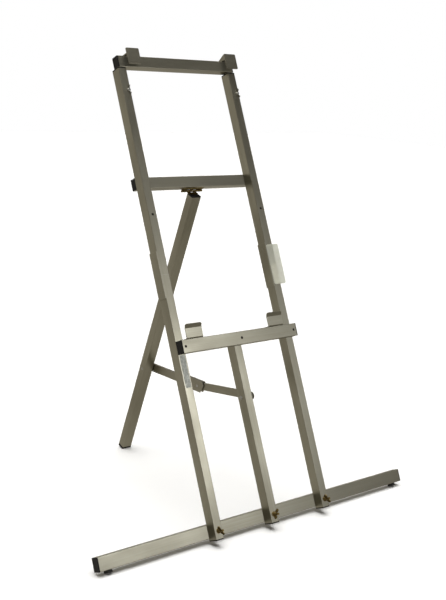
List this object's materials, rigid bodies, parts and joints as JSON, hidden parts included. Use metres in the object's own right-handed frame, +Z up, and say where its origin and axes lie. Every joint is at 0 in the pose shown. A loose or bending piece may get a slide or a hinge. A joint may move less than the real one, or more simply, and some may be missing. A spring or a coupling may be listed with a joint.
{
  "type": "artist_easel",
  "caption": "Folding studio easel of satin aluminium tube with a wide base bar, tray, rising top bar and one hinged rear leg",
  "frame": {"origin": "On the floor, midway between the outermost points of the easel in X and in Y", "axes": "+Z up, +X to the right of the person at the easel, +Y from the front of the easel towards its rear leg"},
  "size_m": [1.077, 0.7606, 1.2566],
  "materials": {
    "aluminium_tube": "satin anodised extrusion",
    "black_plastic": "moulded",
    "rubber": "moulded",
    "brass": "dull rolled and turned",
    "zinc_plate": "bright zinc plate",
    "dark_steel": "blackened screws",
    "label": "blank printed foil",
    "clear_plastic": "frosted translucent sheet"
  },
  "bodies": {
    "frame": {"left_lower_upright": "aluminium_tube", "right_lower_upright": "aluminium_tube", "left_upper_upright": "aluminium_tube", "right_upper_upright": "aluminium_tube", "left_splice_plate": "aluminium_tube", "right_splice_plate": "aluminium_tube", "splice_rivets": "aluminium_tube", "middle_strut": "aluminium_tube", "base_bar": "aluminium_tube", "tray_bar": "aluminium_tube", "cross_bar": "aluminium_tube", "base_left_cap": "black_plastic", "base_right_cap": "black_plastic", "tray_end_caps": "black_plastic", "cross_end_caps": "black_plastic", "left_upright_plug": "black_plastic", "right_upright_plug": "black_plastic", "strut_plugs": "black_plastic", "left_collar": "black_plastic", "right_collar": "black_plastic", "left_foot": "rubber", "right_foot": "rubber", "tray_screws": "dark_steel", "cross_screws": "zinc_plate", "stop_screws": "dark_steel", "base_bolts": "brass", "base_washers": "brass", "label_plate": "label", "plastic_strip": "clear_plastic", "hinge_top_leaf": "brass", "hinge_pin": "brass", "hinge_top_screws": "brass", "stay_frame_bolt": "zinc_plate", "stay_spacer": "black_plastic", "left_tray_lip": "aluminium_tube", "right_tray_lip": "aluminium_tube", "lip_rivets": "aluminium_tube"},
    "mast": {"left_post": "aluminium_tube", "right_post": "aluminium_tube", "post_glides": "black_plastic", "top_bar": "aluminium_tube", "top_end_caps": "black_plastic"},
    "left_clip": {"left_top_clip": "aluminium_tube"},
    "right_clip": {"right_top_clip": "aluminium_tube"},
    "rear_leg": {"rear_leg": "aluminium_tube", "leg_top_plug": "black_plastic", "leg_foot": "rubber", "leg_stay_rivet": "zinc_plate", "hinge_leg_leaf": "brass", "hinge_leg_screws": "brass"},
    "stay_front": {"stay_front_arm": "aluminium_tube"},
    "stay_rear": {"stay_rear_arm": "aluminium_tube", "knee_saddle": "aluminium_tube", "knee_rivet": "zinc_plate", "stay_arm_rivet": "zinc_plate"},
    "left_nut": {"left_wing_nut": "brass"},
    "middle_nut": {"middle_wing_nut": "brass"},
    "right_nut": {"right_wing_nut": "brass"},
    "left_thumb": {"left_thumb_screw": "zinc_plate"},
    "right_thumb": {"right_thumb_screw": "zinc_plate"}
  },
  "joints": [
    {"name": "mast_slide", "type": "slide", "parent": "frame", "child": "mast", "axis": [0, 0.4067, 0.9135], "range_m": [0, 0.3]},
    {"name": "left_clip_slide", "type": "slide", "parent": "mast", "child": "left_clip", "axis": [1, 0, 0], "range_m": [-0.024, 0.13]},
    {"name": "right_clip_slide", "type": "slide", "parent": "mast", "child": "right_clip", "axis": [1, 0, 0], "range_m": [-0.16, 0]},
    {"name": "rear_leg_fold", "type": "hinge", "parent": "frame", "child": "rear_leg", "pos_m": [0, 0.06972, 0.86966], "axis": [-1, 0, 0], "range_deg": [0, 42.1]},
    {"name": "stay_front_fold", "type": "hinge", "parent": "frame", "child": "stay_front", "pos_m": [0, -0.21221, 0.33479], "axis": [1, 0, 0], "range_deg": [0, 65.44]},
    {"name": "stay_knee_fold", "type": "hinge", "parent": "stay_front", "child": "stay_rear", "pos_m": [0, 0.02372, 0.29947], "axis": [-1, 0, 0], "range_deg": [0, 176.7]},
    {"name": "left_nut_turn", "type": "hinge", "parent": "frame", "child": "left_nut", "pos_m": [-0.1915, -0.36541, 0.04724], "axis": [0, -0.9135, 0.4067], "continuous": true},
    {"name": "middle_nut_turn", "type": "hinge", "parent": "frame", "child": "middle_nut", "pos_m": [0, -0.36541, 0.04724], "axis": [0, -0.9135, 0.4067], "continuous": true},
    {"name": "right_nut_turn", "type": "hinge", "parent": "frame", "child": "right_nut", "pos_m": [0.1915, -0.36541, 0.04724], "axis": [0, -0.9135, 0.4067], "continuous": true},
    {"name": "left_thumb_turn", "type": "hinge", "parent": "frame", "child": "left_thumb", "pos_m": [-0.1865, 0.1244, 1.14492], "axis": [0, -0.9135, 0.4067], "continuous": true},
    {"name": "right_thumb_turn", "type": "hinge", "parent": "frame", "child": "right_thumb", "pos_m": [0.1965, 0.1244, 1.14492], "axis": [0, -0.9135, 0.4067], "continuous": true}
  ],
  "couplings": [
    {"joint": "stay_front_fold", "follows": "rear_leg_fold", "ratio": 1.5544},
    {"joint": "stay_knee_fold", "follows": "rear_leg_fold", "ratio": 4.1971}
  ]
}
